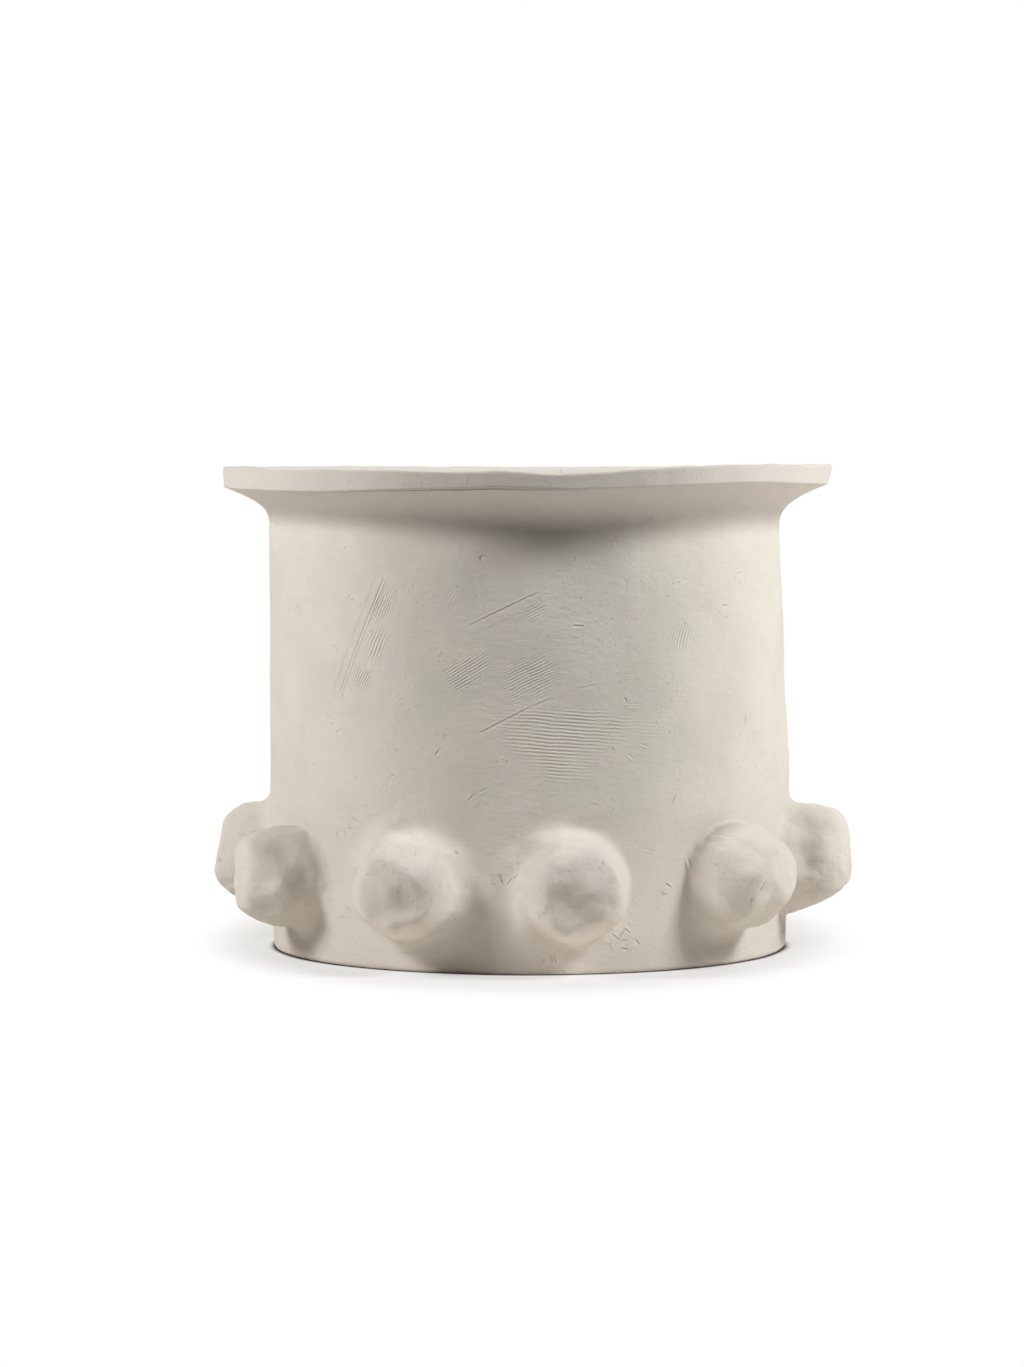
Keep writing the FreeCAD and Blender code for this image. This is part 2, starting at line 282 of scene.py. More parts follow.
def rim_sections():
    """Up the wall, out along the cove, round the lip, over the rim and into the mouth."""
    angles, *waves = np.array(RIM_WAVES).T
    rise, thick, set_back, crease = (round_the_pot(angles, wave, azimuths) for wave in waves)
    edge = on_pot(RIM_RADIUS, azimuths, POT_HEIGHT)
    lip_reach = RIM_RADIUS + layered(LIP_LAYERS, edge)
    lip_top = POT_HEIGHT + rise + layered([LIP_FINE], edge[:, ::-1])
    lip_low = POT_HEIGHT + rise - thick
    low_reach = lip_reach - set_back

    cove_foot = COVE_FOOT + layered(COVE_LAYERS, edge)
    outside = rows_between(wall_radius, BASE_TOP, cove_foot, OUTSIDE_ROWS)
    cove_up = cove_foot + COVE_WALL_PULL
    under_edge = low_reach - LIP_UNDER_ROUND
    cove_end = (under_edge - CREASE_INSET, lip_low - np.maximum(crease, CREASE_LEAST))
    lip_pull = (
        cove_end[0] - COVE_LIP_PULL * math.cos(COVE_LIP_SLOPE),
        cove_end[1] - COVE_LIP_PULL * math.sin(COVE_LIP_SLOPE),
    )
    cove = bezier([outside[-1], (wall_radius(azimuths, cove_up), cove_up), lip_pull, cove_end], COVE_ROWS)

    corner_height = lip_low + LIP_UNDER_ROUND * math.tan(COVE_LIP_SLOPE)
    face_low = (low_reach, corner_height + LIP_UNDER_ROUND)
    face_top = (lip_reach, lip_top - LIP_ROUND)
    top_edge = (lip_reach - LIP_ROUND, lip_top)
    lip = bezier([cove_end, (cove_end[0], lip_low), (under_edge, lip_low)], CREASE_ROWS)
    lip += bezier([(under_edge, lip_low), (low_reach, corner_height), face_low], LIP_UNDER_ROWS)[1:]
    lip += bezier([face_low, face_top], LIP_FACE_ROWS)[1:]
    lip += bezier([face_top, (lip_reach, lip_top), top_edge], LIP_ROUND_ROWS)[1:]

    mouth_top = POT_HEIGHT + rise * MOUTH_RISE_SHARE - RIM_DISH
    mouth = inner_radius(azimuths, mouth_top)
    mouth_edge = (mouth + MOUTH_ROUND, mouth_top)
    low_mouth = (inner_radius(azimuths, mouth_top - MOUTH_ROUND), mouth_top - MOUTH_ROUND)
    rim_top = bezier([top_edge, mouth_edge], RIM_TOP_ROWS)
    rim_top += bezier([mouth_edge, (mouth, mouth_top), low_mouth], MOUTH_ROUND_ROWS)[1:]
    rim_top += rows_between(inner_radius, low_mouth[1], RIM_SEAT, MOUTH_ROWS)[1:]
    return dict(outside=outside, cove=cove, lip=lip, rim_top=rim_top)


def inside_sections():
    """Down the inside, over the coil in the corner, along the floor and into the drain hole."""
    hole = DRAIN_RADIUS
    inside = rows_between(inner_radius, RIM_SEAT, BASE_TOP + COIL_LEG, INSIDE_ROWS)
    corner = inner_radius(azimuths, BASE_TOP)
    floor_edge = corner - COIL_LEG
    coil = bezier([inside[-1], (corner, BASE_TOP), (floor_edge, BASE_TOP)], COIL_ROWS)
    floor = []
    for part in np.linspace(0, 1, FLOOR_ROWS):
        radius = floor_edge + (hole + DRAIN_ROUND - floor_edge) * part
        faded = min(1, FLOOR_FADE * part, FLOOR_FADE * (1 - part))
        floor.append((radius, BASE_TOP + faded * layered(FLOOR_LAYERS, on_pot(radius, azimuths, 0))))
    hole_low = (hole, BASE_TOP - DRAIN_ROUND)
    floor += bezier([(hole + DRAIN_ROUND, BASE_TOP), (hole, BASE_TOP), hole_low], DRAIN_ROWS)[1:]
    floor += bezier([hole_low, (hole, DRAIN_ROUND)], DRAIN_ROWS)[1:-1]
    return dict(inside=inside, coil=coil, floor=floor)


def unit(vectors):
    """Vectors brought to a length of 1."""
    return vectors / np.linalg.norm(vectors, axis=-1, keepdims=True)


def grid_normals(grid):
    """Outward normals of a closed grid of rows round the pot, from its neighbours on each side."""
    round_it = np.roll(grid, -1, axis=1) - np.roll(grid, 1, axis=1)
    along = np.roll(grid, -1, axis=0) - np.roll(grid, 1, axis=0)
    return unit(np.cross(round_it, along))


def skin_grids():
    """Points and normals of each section of the skin, all but the knobs. Neighbours share a row."""
    spans = {}
    rows = []
    for name, section in (foot_sections() | rim_sections() | inside_sections()).items():
        added = section[1:] if rows else section
        spans[name] = slice(max(len(rows) - 1, 0), len(rows) + len(added))
        rows += added
    grid = np.stack([on_pot(radius, azimuths, height) for radius, height in rows])
    normals = grid_normals(grid)
    return {name: (grid[span], normals[span]) for name, span in spans.items()}


def add_object(name, data):
    """A new object in the scene."""
    made = bpy.data.objects.new(name, data)
    bpy.context.scene.collection.objects.link(made)
    return made


def mesh_object(node, points, normals, faces):
    """A clay piece for a node, from points in millimetres. A zero normal is left to the mesh."""
    name = f"{node}_clay"
    mesh = bpy.data.meshes.new(name)
    mesh.from_pydata((points * MM).tolist(), [], faces)
    mesh.polygons.foreach_set("use_smooth", np.ones(len(mesh.polygons), dtype=bool))
    mesh.normals_split_custom_set_from_vertices(normals.tolist())
    mesh.materials.append(stoneware)
    piece = add_object(name, mesh)
    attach(piece, "root")
    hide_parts(node)
    return piece


def ring_faces(rows, columns, closed):
    """Quads between neighbouring rows, and from the last row back to the first if closed."""
    faces = []
    for row in range(rows if closed else rows - 1):
        first = row * columns
        second = (row + 1) % rows * columns
        for column in range(columns):
            beside = (column + 1) % columns
            faces.append((first + column, first + beside, second + beside, second + column))
    return faces


def hidden_row(radius, height):
    """A row inside the clay, where two pieces meet. It closes a piece and isn't seen."""
    return on_pot(radius, azimuths, height)[None], np.zeros((1, COLUMNS, 3))


def turned_piece(node, *parts):
    """A closed ring of sections and hidden rows."""
    points = np.concatenate([part[0] for part in parts])
    normals = np.concatenate([part[1] for part in parts])
    faces = ring_faces(len(points), COLUMNS, closed=True)
    points = points.reshape(-1, 3)
    return mesh_object(node, points, normals.reshape(-1, 3), faces), points


# The knobs

FLAT_SOFT = 1.1
KNOB_LUMPY = Noise(61, 17)
KNOB_LAYERS = ((KNOB_LUMPY, 0.6), (Noise(62, 8), 0.45), (Noise(63, 4), 0.16))
KNOB_SHIFT = np.array([137.0, 59.0, 83.0])
KNOB_SEARCH = 16.0
KNOB_STEPS = 22
PROBE = 0.1
ROOT_INSET = 3.5
ROOT_RAGGED = 0.45
BORDER_INSET = 2.5
BORDER_MOST = 75
BORDER_DIP = 0.5
FOOT_CLEAR = 5
LEAST_SINE = 0.1
# The plain dome that the search for a knob's surface starts from: its waist, profile and rows
WAIST_REACH = 10
WAIST_INSET = 1.5
WAIST_FADE = 4
GUIDE_START = 0.012
GUIDE_ROUND = 0.9
GUIDE_BLUNT = 0.8
DOME_ROWS = 64
FLARE_ROWS = 34

# The knobs, in millimetres and degrees: blunt domes that were paddled flat and thumbed in places.
# Clock angles run from 0 towards +azimuth to 90 straight up.
# Each knob's reach, radius, squareness of profile, step along the wall and rise from its packed place,
# droop of its end, how far clay is smoothed out round its root, how much that varies and where it is most
KNOB_SIZES = (
    (42.5, 32.8, 2.7, 1.0, -2.0, 2.0, 11.0, 5.0, 190),
    (42.5, 32.5, 3.1, 5.0, -0.5, 0.0, 8.0, 4.0, 265),
    (41.5, 35.5, 3.2, 0.0, 2.0, 0.0, 6.5, 2.5, 100),
    (42.0, 33.5, 2.9, 0.0, -1.0, 3.0, 6.5, 3.5, 200),
    (42.5, 35.0, 2.8, 0.0, -2.0, 2.0, 6.5, 3.5, 290),
    (41.5, 34.0, 3.1, 0.0, -3.0, 4.0, 6.5, 4.0, 250),
    (43.0, 34.5, 2.8, 0.0, -1.0, 1.0, 6.5, 3.5, 120),
    (39.0, 32.8, 3.4, 0.0, 1.5, 0.0, 6.5, 2.5, 90),
    (43.0, 31.0, 3.0, -2.0, -3.5, 0.0, 7.0, 4.0, 300),
    (41.5, 31.8, 2.6, -3.0, -2.5, 4.0, 14.0, 5.0, 150),
)
# Flats on each knob: clock angle, tilt from the axis, and depth taken off the dome
KNOB_FLATS = (
    (
        (80, 14, 3.4), (255, 14, 3.0), (335, 20, 3.0), (38, 74, 2.0), (185, 64, 1.4), (140, 80, 2.6),
        (285, 54, 3.4), (0, 72, 1.2),
    ),
    (
        (82, 56, 3.4), (128, 48, 3.4), (200, 48, 3.0), (268, 54, 6.4), (318, 54, 3.6), (62, 14, 1.8),
        (235, 16, 2.2),
    ),
    ((270, 64, 8.0), (270, 43, 5.6), (80, 10, 1.4), (275, 8, 1.0), (135, 72, 1.0), (90, 84, 0.8)),
    ((60, 15, 3.0), (200, 20, 3.0), (300, 24, 3.4), (30, 66, 1.6), (120, 62, 1.4), (240, 60, 2.2)),
    ((130, 14, 2.8), (270, 20, 3.4), (10, 24, 3.2), (75, 64, 1.2), (185, 66, 1.8), (320, 60, 2.0)),
    ((95, 18, 3.2), (220, 16, 2.6), (320, 22, 3.2), (50, 68, 1.8), (150, 60, 1.4), (270, 58, 3.0)),
    ((45, 15, 3.0), (170, 20, 3.0), (280, 18, 3.2), (100, 66, 1.4), (220, 62, 2.0), (340, 64, 1.6)),
    ((90, 9, 6.5), (90, 47, 3.4), (268, 56, 5.6), (268, 30, 4.4), (0, 70, 1.2), (60, 74, 1.2)),
    (
        (180, 31, 4.6), (5, 60, 2.2), (325, 58, 2.0), (45, 58, 1.4), (120, 15, 2.2), (240, 18, 0.8),
        (268, 62, 2.4), (80, 78, 1.0),
    ),
    (
        (330, 5, 4.8), (105, 11, 3.4), (235, 62, 2.4), (55, 60, 1.0), (0, 60, 1.2), (285, 58, 2.4),
        (150, 62, 2.0),
    ),
)
# Dents in each knob: clock angle, distance from the axis, reach, depth and spread
KNOB_DENTS = (
    ((190, 13, 38, 3.6, 8), (250, 10, 39, 4.2, 8), (290, 15, 38, 1.6, 5), (75, 20, 37, 1.0, 6)),
    ((255, 15, 38, 1.6, 5), (165, 26, 28, 1.2, 6), (205, 14, 39, 0.9, 4)),
    ((140, 34, 14, 3.6, 6), (166, 34, 14, 3.2, 5.5), (184, 34, 15, 2.4, 4), (206, 33, 17, 1.4, 3.5)),
    ((240, 10, 38, 3.8, 9), (60, 24, 34, 1.2, 7)),
    ((300, 12, 38, 3.6, 10), (120, 26, 31, 1.4, 6)),
    ((250, 8, 38, 4.0, 9), (30, 22, 35, 1.0, 6)),
    ((215, 14, 38, 3.4, 9), (80, 20, 37, -1.0, 6)),
    ((20, 28, 26, 1.8, 7), (320, 28, 26, 1.2, 6)),
    ((348, 27, 29, -2.6, 4.5), (38, 28, 24, 4.8, 8), (0, 30, 14, 3.4, 7), (315, 25, 32, 2.6, 5)),
    ((340, 13, 35, 5.6, 8), (250, 10, 37, 1.6, 6)),
)


def soft_most(gaps, softness):
    """The largest of several distances, with the change from one to the next rounded."""
    scaled = np.stack(gaps) / softness
    most = scaled.max(axis=0)
    return softness * (most + np.log(np.exp(scaled - most).sum(axis=0)))


def turning_point(inside, low, high):
    """Where a test that holds at low and fails at high changes over, found by halving the stretch."""
    for step in range(KNOB_STEPS):
        middle = (low + high) / 2
        holds = inside(middle)
        low = np.where(holds, middle, low)
        high = np.where(holds, high, middle)
    return high


class Knob:
    """One knob, in its own frame: x out along its axis from the pot's axis, y towards +azimuth, z up."""

    def __init__(self, number):
        self.reach, self.radius, self.power, step, rise, droop, *self.root = KNOB_SIZES[number - 1]
        self.azimuth = knob_azimuth(number) + step / FOOT_RADIUS
        self.height = KNOB_HEIGHT + rise
        self.droop = np.array([0, 0, droop])
        self.face = float(wall_radius(self.azimuth, self.height))
        self.flats = [self.flat(*values) for values in KNOB_FLATS[number - 1]]
        self.dents = KNOB_DENTS[number - 1]
        self.shift = number * KNOB_SHIFT

    def flat(self, clock, tilt, depth):
        """A plane facing a clock angle, tilted from the axis, that takes a depth off the dome."""
        clock, tilt = math.radians(clock), math.radians(tilt)
        aside = math.sin(tilt)
        normal = np.array([math.cos(tilt), aside * math.cos(clock), aside * math.sin(clock)])
        power = self.power / (self.power - 1)
        touching = ((self.reach * math.cos(tilt)) ** power + (self.radius * aside) ** power) ** (1 / power)
        return normal, normal[0] * self.face + touching - depth

    def dome_gap(self, points):
        """Distance from the dome, which runs on as a round bar inside the wall."""
        out = np.maximum(points[..., 0] - self.face, 0) / self.reach
        aside = np.hypot(points[..., 1], points[..., 2]) / self.radius
        return ((out ** self.power + aside ** self.power) ** (1 / self.power) - 1) * self.radius

    def wall_gap(self, points):
        """Distance from the wall's outside."""
        azimuth = self.azimuth + np.arctan2(points[..., 1], points[..., 0])
        return np.hypot(points[..., 0], points[..., 1]) - wall_radius(azimuth, self.height + points[..., 2])

    def drooped(self, points):
        """Points as they would lie if the knob's end didn't droop."""
        return points + self.droop * np.maximum(points[..., :1] - self.face, 0) / self.reach

    def dent_depth(self, points):
        """How deep the knob is thumbed in at each point."""
        total = np.zeros(points.shape[:-1])
        for clock, radius, reach, depth, spread in self.dents:
            clock = math.radians(clock)
            middle = np.array([self.face + reach, radius * math.cos(clock), radius * math.sin(clock)])
            away = ((points - middle) ** 2).sum(axis=-1)
            total = total + depth * np.exp(-away / (2 * spread ** 2))
        return total

    def lump_gap(self, points):
        """Distance from the dome with its flats and dents, edges softened."""
        points = self.drooped(points)
        cuts = [points @ normal - offset for normal, offset in self.flats]
        uneven = layered(KNOB_LAYERS, points + self.shift) + self.dent_depth(points)
        return soft_most([self.dome_gap(points)] + cuts, FLAT_SOFT) + uneven

    def smoothing(self, points):
        """How far the clay is smoothed out round the root, which differs from side to side."""
        root, stray, most_clock = self.root
        clock = np.arctan2(points[..., 2], points[..., 1])
        even = root + stray * np.cos(clock - math.radians(most_clock))
        return even * (1 + ROOT_RAGGED * KNOB_LUMPY(points - self.shift))

    def gap(self, points):
        """Distance from the knob and wall joined by a smooth cove."""
        wall_side, lump_side = self.wall_gap(points), self.lump_gap(points)
        smoothing = self.smoothing(points)
        share = np.clip(0.5 + 0.5 * (lump_side - wall_side) / smoothing, 0, 1)
        return lump_side * (1 - share) + wall_side * share - smoothing * share * (1 - share)

    def on_wall(self, clock, radius):
        """The point of the wall at a clock angle and a distance from the knob's axis."""
        side, up = radius * np.cos(clock), radius * np.sin(clock)
        depth = np.sqrt(self.face ** 2 - side ** 2)
        around = wall_radius(self.azimuth + np.arctan2(side, depth), self.height + up)
        return np.stack([np.sqrt(around ** 2 - side ** 2), side, up], axis=-1)

    def border(self, clock):
        """Distance from the axis at which the cove has run out into the wall, at each clock angle."""

        def in_cove(radius):
            point = self.on_wall(clock, radius)
            return self.lump_gap(point) < self.smoothing(point)

        over_foot = (self.height - FOOT_CLEAR) / np.maximum(-np.sin(clock), LEAST_SINE)
        return turning_point(in_cove, self.radius - BORDER_INSET, np.minimum(over_foot, BORDER_MOST))

    def guide(self, clock):
        """A plain dome with a flared foot, near the knob's surface, to search from."""
        border = self.border(clock)
        waist = np.minimum(self.radius, border) - WAIST_INSET
        rows = []
        for angle in np.linspace(GUIDE_START, 1, DOME_ROWS) * math.pi / 2:
            reach = WAIST_REACH + (self.reach - WAIST_REACH) * math.cos(angle) ** GUIDE_BLUNT
            rows.append((waist * math.sin(angle) ** GUIDE_ROUND, reach))
        for angle in np.linspace(0, 1, FLARE_ROWS + 1)[1:] * math.pi / 2:
            reach = WAIST_REACH * (1 - math.sin(angle))
            rows.append((border - (border - waist) * math.cos(angle), reach))
        points = []
        for radius, reach in rows:
            side, up = radius * np.cos(clock), radius * np.sin(clock)
            recess = self.face - np.sqrt(self.face ** 2 - side ** 2)
            drop = recess * eased(-reach, -WAIST_REACH - WAIST_FADE, 0)
            points.append(np.stack([self.face + reach - drop, side, up], axis=-1))
        return np.stack(points)

    def surface(self, clock):
        """Rows of points on the knob from its end to the wall, and their normals, in the knob's frame."""
        guide = self.guide(clock)
        along = np.gradient(guide, axis=0)
        round_it = np.roll(guide, -1, axis=1) - np.roll(guide, 1, axis=1)
        out = unit(np.cross(along, round_it))

        def inside(distance):
            return self.gap(guide + out * distance[..., None]) < 0

        far = np.full(guide.shape[:2], KNOB_SEARCH)
        points = guide + out * turning_point(inside, -far, far)[..., None]
        slopes = [self.gap(points + step) - self.gap(points - step) for step in PROBE * np.eye(3)]
        return points, unit(np.stack(slopes, axis=-1))

    def turned(self, points):
        """Turned from the knob's directions to the pot's."""
        sine, cosine = math.sin(self.azimuth), math.cos(self.azimuth)
        return points @ np.array([[sine, -cosine, 0], [cosine, sine, 0], [0, 0, 1]])

    def to_pot(self, points):
        """From the knob's frame to the pot's."""
        return self.turned(points) + np.array([0, 0, self.height])


def knob_piece(node, points, normals, faces, dent_shade_depth):
    """A knob's or collar's mesh, with its scratches and the depth of its dents, by which shade is painted
    into them.
    """
    piece = mesh_object(node, points, normals, [face[::-1] for face in faces])
    mark_nicks(piece, points, dent_shade_depth)


def make_head(node, head, head_normals, root, dent_shade_depth):
    """The knob itself, from the tip of its end to a flat back inside the wall."""
    grid = np.concatenate([head, root])
    count = grid.shape[0] * KNOB_COLUMNS
    last = count - KNOB_COLUMNS
    faces = ring_faces(grid.shape[0], KNOB_COLUMNS, closed=False)
    for column in range(KNOB_COLUMNS):
        beside = (column + 1) % KNOB_COLUMNS
        faces.append((beside, column, count))
        faces.append((last + column, last + beside, count + 1))
    tip, back = head[0].mean(axis=0), root[0].mean(axis=0)
    points = np.concatenate([grid.reshape(-1, 3), [tip, back]])
    normals = np.zeros_like(points)
    normals[:last] = head_normals.reshape(-1, 3)
    normals[count] = head_normals[0].mean(axis=0)
    knob_piece(node, points, normals, faces, dent_shade_depth)


def make_collar(node, skirt, skirt_normals, dipped, root, dent_shade_depth):
    """The collar round a knob's root, which dips under the wall's skin and closes inside the wall."""
    grid = np.concatenate([skirt, dipped, root])
    normals = np.concatenate([skirt_normals, skirt_normals[-1:], np.zeros_like(root)])
    faces = ring_faces(grid.shape[0], KNOB_COLUMNS, closed=True)
    knob_piece(node, grid.reshape(-1, 3), normals.reshape(-1, 3), faces, dent_shade_depth)


def make_knob(number):
    """A knob and the collar round its root, meeting in one smooth surface."""
    knob = Knob(number)
    clock = np.arange(KNOB_COLUMNS) * math.tau / KNOB_COLUMNS
    points, normals = knob.surface(clock)
    # The depth of the dents, by which the shader paints shade into them
    dent_shade_depth = knob.dent_depth(knob.drooped(points))
    border = np.linalg.norm(points[-1, :, 1:], axis=-1)
    dipped = knob.on_wall(clock, border + BORDER_DIP) - [BORDER_DIP, 0, 0]
    root = knob.on_wall(clock, knob.radius - ROOT_INSET)
    points, dipped, root = knob.to_pot(points), knob.to_pot(dipped)[None], knob.to_pot(root)[None]
    normals = knob.turned(normals)
    head, skirt = slice(DOME_ROWS), slice(DOME_ROWS - 1, None)
    make_head(f"knob_{number:02d}", points[head], normals[head], root, dent_shade_depth[head])
    make_collar(f"knob_collar_{number:02d}", points[skirt], normals[skirt], dipped, root, dent_shade_depth[skirt])


# Stoneware

CLAY_PALE = (0.716, 0.668, 0.588, 1)
CLAY_GREY = (0.667, 0.630, 0.550, 1)
CLAY_PINK = (0.700, 0.637, 0.585, 1)
CLAY_DARK = (0.300, 0.262, 0.215, 1)
# Shade painted into the dents as a darker clay colour, and between which depths it darkens so
CLAY_DENT_SHADE = (0.610, 0.556, 0.490, 1)
DENT_SHADE_DEPTHS = (0.5, 6.0)
# Heights in metres between which the clay turns pinker, towards the foot and under the rim
LOW_CLAY = (0.04, 0.115)
LOW_PINK_SHARE = 0.75
HIGH_CLAY = (0.255, 0.285)
PINK_SHARE = 0.6
PIT_TINT_SHARE = 0.3
SPECULAR = 0.04
ROUGHNESS = (0.80, 0.95)
NOISE_ROUGHNESS = 0.55
# Patterns over the clay: scale per metre and detail of the noise, then the values between which it fades in
MOTTLE = ((24, 5, 0.62), (0.36, 0.62))
PINK_PATCHES = ((38, 3), (0.46, 0.70))
ROUGH_PATCHES = ((55, 4), (0.3, 0.7))
COMB_BREAKS = ((75, 3), (0.32, 0.50))
PIT_PATCHES = ((31, 1), (0.52, 0.60))
CRUMBS = ((430, 2), (0.60, 0.72))
CRUMB_PATCHES = ((48, 2), (0.42, 0.64))
CRUMB_HEIGHT = 0.3
COMB_PITCHES = (2.15, 1.75)
COMB_DEPTH = 0.14
COMB_WANDER = (45, 2)
COMB_WANDER_DEPTH = 3.5
# A scored line's width and depth, and the burr beside it as shares of these
SCORE_WIDTH = 0.62
SCORE_DEPTH = 0.3
BURR_PLACE_SHARE = 1.7
BURR_HEIGHT_SHARE = 0.8
# Pits: cells per metre, the pit's edge as a share of a cell, and how their outline wavers
PIT_DEPTH = 0.5
PIT_CELLS = 42.0
PIT_EDGE = (0.02, 0.08)
PIT_WAVER = (330.0, 2.0)
PIT_WAVER_REACH = 0.005
# Relief too fine for the mesh: noise scale per metre, detail, height in mm, and if drawn out along the wall
RELIEF = (
    (80, 4, 0.34, False),
    (240, 4, 0.26, False),
    (330, 3, 0.32, True),
    (900, 3, 0.10, False),
)
SMEAR = (0.3, 0.3, 1)


class Shader:
    """The nodes of a material or world, built step by step."""

    def __init__(self, owner, end="Material Output"):
        owner.use_nodes = True
        self.tree = owner.node_tree
        self.end = self.tree.nodes[end]

    def set(self, socket, value):
        """Gives an input a value, or joins it to another node's output."""
        if isinstance(value, bpy.types.NodeSocket):
            self.tree.links.new(value, socket)
        else:
            socket.default_value = value

    def node(self, kind, *values, output=0, **settings):
        """One output of a new node, whose inputs are given in their order or by name."""
        made = self.tree.nodes.new(f"ShaderNode{kind}")
        for name, value in settings.items():
            if name in made.inputs:
                self.set(made.inputs[name], value)
            else:
                setattr(made, name, value)
        for socket, value in zip(made.inputs, values):
            self.set(socket, value)
        return made.outputs[output]

    def math(self, operation, first, *others):
        """Outputs or numbers put together from left to right, or one of them changed by itself."""
        if not others:
            return self.node("Math", first, operation=operation)
        for other in others:
            first = self.node("Math", first, other, operation=operation)
        return first

    def ranged(self, value, low, high, start=0.0, end=1.0):
        """A value from low to high spread smoothly over start to end."""
        return self.node("MapRange", value, low, high, start, end, interpolation_type="SMOOTHSTEP")

    def shown_share(self):
        """1 for rays from the camera and those that gloss or glass sends on, which see the white studio."""
        rays = ("Is Camera Ray", "Is Glossy Ray", "Is Transmission Ray")
        return self.math("MAXIMUM", *[self.node("LightPath", output=ray) for ray in rays])

    def show(self, surface):
        """Makes a shader the one that is seen."""
        self.set(self.end.inputs["Surface"], surface)


class Clay(Shader):
    """The patterns and marks that make up the stoneware."""

    def __init__(self, material):
        super().__init__(material)
        self.place = self.node("TexCoord", output="Object")
        self.smeared = self.node("Mapping", self.place, Scale=SMEAR)

    def noise(self, scale, detail, roughness=NOISE_ROUGHNESS, smeared=False):
        """Noise from 0 to 1 over the object, at a scale per metre."""
        place = self.smeared if smeared else self.place
        return self.node("TexNoise", Vector=place, Scale=scale, Detail=detail, Roughness=roughness)

    def patches(self, noise, fade, least=0.0, most=1.0):
        """A pattern of noise that fades in between two of its values."""
        return self.ranged(self.noise(*noise), *fade, least, most)

    def mixed(self, share, *colours):
        """Two colours mixed by a share."""
        made = self.tree.nodes.new("ShaderNodeMix")
        made.data_type = "RGBA"
        self.set(made.inputs["Factor"], share)
        for socket, colour in zip([put for put in made.inputs if put.type == "RGBA"], colours):
            self.set(socket, colour)
        return [got for got in made.outputs if got.type == "RGBA"][0]

    def mark(self, name):
        """A number stored on the mesh at each vertex."""
        return self.node("Attribute", attribute_name=name, output="Fac")

    def comb(self, layer):
        """Height of the fine parallel lines that a toothed tool leaves."""
        wander = self.math("MULTIPLY", self.noise(*COMB_WANDER), COMB_WANDER_DEPTH)
        across = self.math("ADD", self.mark(f"comb_across_{layer}"), wander)
        wave = self.math("SINE", self.math("MULTIPLY", across, math.tau / COMB_PITCHES[layer]))
        mask = self.math("MULTIPLY", self.mark(f"comb_mask_{layer}"), self.patches(*COMB_BREAKS))
        return self.math("MULTIPLY", wave, mask, COMB_DEPTH)

    def bell(self, value):
        """1 where a value is zero, falling off on both sides."""
        return self.math("EXPONENT", self.math("MULTIPLY", value, value, -1.0))

    def score(self):
        """Height of single scored lines: a groove with a burr along one side."""
        across = self.math("DIVIDE", self.mark("score_across"), SCORE_WIDTH)
        burr = self.bell(self.math("SUBTRACT", across, BURR_PLACE_SHARE))
        line = self.math("SUBTRACT", self.math("MULTIPLY", burr, BURR_HEIGHT_SHARE), self.bell(across))
        return self.math("MULTIPLY", line, self.mark("score_mask"), SCORE_DEPTH)

    def pits(self):
        """Share of each small pit, 1 in its middle."""
        scale, detail = PIT_WAVER
        waver = self.node("TexNoise", Vector=self.place, Scale=scale, Detail=detail, output="Color")
        reach = (PIT_WAVER_REACH,) * 3
        nudged = self.node("VectorMath", waver, reach, self.place, operation="MULTIPLY_ADD")
        away = self.node("TexVoronoi", Vector=nudged, Scale=PIT_CELLS, Randomness=1.0)
        return self.math("MULTIPLY", self.ranged(away, *PIT_EDGE, 1.0, 0.0), self.patches(*PIT_PATCHES))

    def crumbs(self):
        """Share of each small raised crumb, which lie in patches."""
        return self.math("MULTIPLY", self.patches(*CRUMBS), self.patches(*CRUMB_PATCHES))

    def colour(self, pits):
        """Mottled clay, pinker low down and under the rim, with shade painted into the dents, and darker in
        pits.
        """
        shade = self.mixed(self.patches(*MOTTLE), CLAY_GREY, CLAY_PALE)
        height = self.node("SeparateXYZ", self.place, output="Z")
        low = self.ranged(height, *LOW_CLAY, LOW_PINK_SHARE, 0.0)
        high = self.ranged(height, *HIGH_CLAY, 0.0, PINK_SHARE)
        pink = self.math("MAXIMUM", self.patches(*PINK_PATCHES, 0.0, PINK_SHARE), low, high)
        shade = self.mixed(pink, shade, CLAY_PINK)
        # Painted shade: the clay is darker the deeper a dent is
        shade = self.mixed(self.ranged(self.mark("dent_shade_depth"), *DENT_SHADE_DEPTHS), shade, CLAY_DENT_SHADE)
        return self.mixed(self.math("MULTIPLY", pits, PIT_TINT_SHARE), shade, CLAY_DARK)

    def relief(self, pits):
        """Pits, crumbs, grain and tool marks as a bumpy surface."""
        heights = [self.math("MULTIPLY", pits, -PIT_DEPTH)]
        heights.append(self.math("MULTIPLY", self.crumbs(), CRUMB_HEIGHT))
        for scale, detail, depth, smeared in RELIEF:
            heights.append(self.math("MULTIPLY", self.noise(scale, detail, smeared=smeared), depth))
        heights += [self.comb(0), self.comb(1), self.score()]
        return self.node("Bump", Strength=1.0, Distance=MM, Height=self.math("ADD", *heights))


def make_stoneware():
    """Matt unglazed stoneware: mottled off-white clay with a fine grain, tool marks and small pits."""
    material = bpy.data.materials.new("stoneware")
    clay = Clay(material)
    pits = clay.pits()
    inputs = clay.tree.nodes["Principled BSDF"].inputs
    clay.set(inputs["Base Color"], clay.colour(pits))
    clay.set(inputs["Roughness"], clay.patches(*ROUGH_PATCHES, *ROUGHNESS))
    clay.set(inputs["Specular IOR Level"], SPECULAR)
    clay.set(inputs["Normal"], clay.relief(pits))
    return material


stoneware = make_stoneware()

# Tool marks on the outside of the wall, placed by arc along it from the front, and by height

